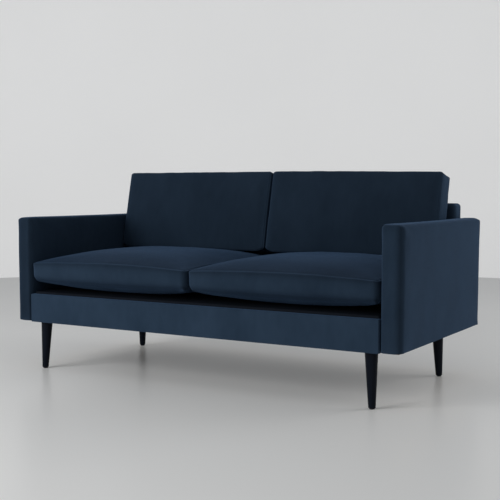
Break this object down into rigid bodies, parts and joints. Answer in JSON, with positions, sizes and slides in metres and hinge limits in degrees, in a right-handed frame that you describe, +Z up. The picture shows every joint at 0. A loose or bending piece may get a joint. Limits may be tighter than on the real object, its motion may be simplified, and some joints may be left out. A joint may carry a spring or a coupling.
{
  "type": "two-seat sofa",
  "caption": "Low two-seat sofa with slim square arms, loose boxed seat and back cushions in dark blue velvet, and slender tapered dark wooden legs.",
  "frame": {"origin": "on the floor under the middle of the sofa", "axes": "+X to the right seen from the front, along the width; +Y to the back; +Z up; the front faces -Y"},
  "size_m": [1.7, 0.84, 0.8201],
  "materials": {
    "velvet": "dark ink-blue short-pile velvet, soft sheen",
    "seat_velvet": "dark ink-blue short-pile velvet, soft sheen",
    "back_velvet": "dark ink-blue short-pile velvet, soft sheen",
    "leg_wood": "black-brown stained beech, satin lacquer",
    "frame_timber": "planed pine, unfinished",
    "board": "hardboard, unfinished",
    "webbing": "elastic webbing, woven",
    "foam": "upholstery foam and wadding",
    "lining": "black non-woven lining",
    "zinc": "zinc plated",
    "brass": "plain",
    "glide": "hard nylon",
    "zip": "woven zip tape with nylon teeth",
    "nickel": "dark nickel plated"
  },
  "bodies": {
    "frame": {"front_rail": "frame_timber", "rear_rail": "frame_timber", "left_side_rail": "frame_timber", "right_side_rail": "frame_timber", "centre_joist": "frame_timber", "leg_blocks": "frame_timber", "rail_screws": "zinc", "seat_webbing": "webbing", "deck_pad": "foam", "deck_cover": "lining", "front_padding": "foam", "base_cover": "velvet", "dust_cover": "lining", "dust_cover_staples": "zinc", "front_left_leg": "leg_wood", "front_right_leg": "leg_wood", "rear_left_leg": "leg_wood", "rear_right_leg": "leg_wood", "leg_plates": "zinc", "plate_screws": "zinc", "leg_bolts": "zinc", "leg_glides": "glide", "frame_bolts": "zinc", "threaded_inserts": "brass", "left_arm_posts": "frame_timber", "left_arm_top_rail": "frame_timber", "left_arm_bottom_rail": "frame_timber", "left_arm_panels": "board", "left_arm_padding": "foam", "left_arm_cover": "velvet", "right_arm_posts": "frame_timber", "right_arm_top_rail": "frame_timber", "right_arm_bottom_rail": "frame_timber", "right_arm_panels": "board", "right_arm_padding": "foam", "right_arm_cover": "velvet", "back_posts": "frame_timber", "back_top_rail": "frame_timber", "back_bottom_rail": "frame_timber", "back_webbing": "webbing", "back_board": "board", "back_padding": "foam", "back_cover": "velvet"},
    "left_seat": {"left_seat_cover": "seat_velvet", "left_seat_foam": "foam", "left_seat_zip": "zip"},
    "right_seat": {"right_seat_cover": "seat_velvet", "right_seat_foam": "foam", "right_seat_zip": "zip"},
    "left_back_cushion": {"left_back_cover": "back_velvet", "left_back_foam": "foam", "left_back_zip": "zip"},
    "right_back_cushion": {"right_back_cover": "back_velvet", "right_back_foam": "foam", "right_back_zip": "zip"},
    "left_seat_zip_slider": {"left_seat_slider": "nickel"},
    "right_seat_zip_slider": {"right_seat_slider": "nickel"},
    "left_back_zip_slider": {"left_back_slider": "nickel"},
    "right_back_zip_slider": {"right_back_slider": "nickel"}
  },
  "joints": [
    {"name": "left_seat_slide", "type": "slide", "parent": "frame", "child": "left_seat", "axis": [0, -1, 0], "range_m": [0, 0.78]},
    {"name": "right_seat_slide", "type": "slide", "parent": "frame", "child": "right_seat", "axis": [0, -1, 0], "range_m": [0, 0.78]},
    {"name": "left_back_cushion_lift", "type": "slide", "parent": "frame", "child": "left_back_cushion", "axis": [0, 0, 1], "range_m": [0, 0.45]},
    {"name": "right_back_cushion_lift", "type": "slide", "parent": "frame", "child": "right_back_cushion", "axis": [0, 0, 1], "range_m": [0, 0.45]},
    {"name": "left_seat_zip", "type": "slide", "parent": "left_seat", "child": "left_seat_zip_slider", "axis": [1, 0, 0], "range_m": [0, 0.47]},
    {"name": "right_seat_zip", "type": "slide", "parent": "right_seat", "child": "right_seat_zip_slider", "axis": [1, 0, 0], "range_m": [0, 0.47]},
    {"name": "left_back_cushion_zip", "type": "slide", "parent": "left_back_cushion", "child": "left_back_zip_slider", "axis": [1, 0, 0], "range_m": [0, 0.46]},
    {"name": "right_back_cushion_zip", "type": "slide", "parent": "right_back_cushion", "child": "right_back_zip_slider", "axis": [1, 0, 0], "range_m": [0, 0.46]}
  ]
}
